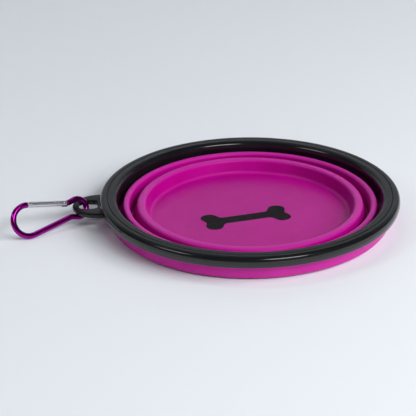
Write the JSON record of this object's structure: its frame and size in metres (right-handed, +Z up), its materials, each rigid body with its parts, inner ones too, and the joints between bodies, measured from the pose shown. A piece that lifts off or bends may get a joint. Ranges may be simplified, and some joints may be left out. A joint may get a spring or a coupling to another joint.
{
  "type": "collapsible pet bowl",
  "caption": "Round travel pet bowl folded flat: soft folding silicone wall and base in a black rim, with a hang tab and a spring-gate carabiner clipped through it.",
  "frame": {"origin": "centre of the base's underside, on the surface that the bowl stands on", "axes": "+Z up along the bowl's axis, -X along the hang tab, +Y to the back as pictured"},
  "size_m": [0.2317, 0.18, 0.0197],
  "materials": {
    "rim_plastic": "satin flange, polished roll",
    "soft_silicone": "smooth matt silicone",
    "anodised_aluminium": "bright anodised purple",
    "bare_aluminium": "drawn and tumbled",
    "bright_steel": "plated"
  },
  "bodies": {
    "base": {"base_cup": "soft_silicone", "lower_fold_web": "soft_silicone"},
    "middle": {"middle_wall": "soft_silicone", "upper_fold_web": "soft_silicone"},
    "rim": {"rim_outer_ring": "rim_plastic", "rim_inner_ring": "rim_plastic", "bowl_skirt": "soft_silicone"},
    "carabiner": {"carabiner_body": "anodised_aluminium"},
    "gate": {"carabiner_gate": "bare_aluminium", "gate_hinge_rivet": "bright_steel", "gate_latch_rivet": "bright_steel", "gate_spring": "bright_steel"},
    "plunger": {"gate_plunger": "bright_steel"}
  },
  "joints": [
    {"name": "lower_fold", "type": "slide", "parent": "base", "child": "middle", "axis": [0, 0, 1], "range_m": [0, 0.0189], "deforming": ["lower_fold_web"]},
    {"name": "upper_fold", "type": "slide", "parent": "middle", "child": "rim", "axis": [0, 0, 1], "range_m": [0, 0.0211], "deforming": ["upper_fold_web"]},
    {"name": "carabiner_swing", "type": "hinge", "parent": "rim", "child": "carabiner", "pos_m": [-0.1043, 0, 0.01015], "axis": [-0.2494, 0.9476, -0.1995], "range_deg": [-115, 125]},
    {"name": "gate_open", "type": "hinge", "parent": "carabiner", "child": "gate", "pos_m": [-0.11137, -0.0031, 0.01434], "axis": [0.4088, -0.7872, 0.4617], "range_deg": [0, 32], "stiffness_Nm_per_rad": 0.02, "springref_deg": -20.05},
    {"name": "plunger_slide", "type": "slide", "parent": "gate", "child": "plunger", "axis": [-0.911, -0.3825, 0.1545], "range_m": [0, 0.0005], "deforming": ["gate_spring"]}
  ],
  "couplings": [
    {"joint": "gate_open", "follows": "plunger_slide", "rad_per_m": 1111.1}
  ]
}
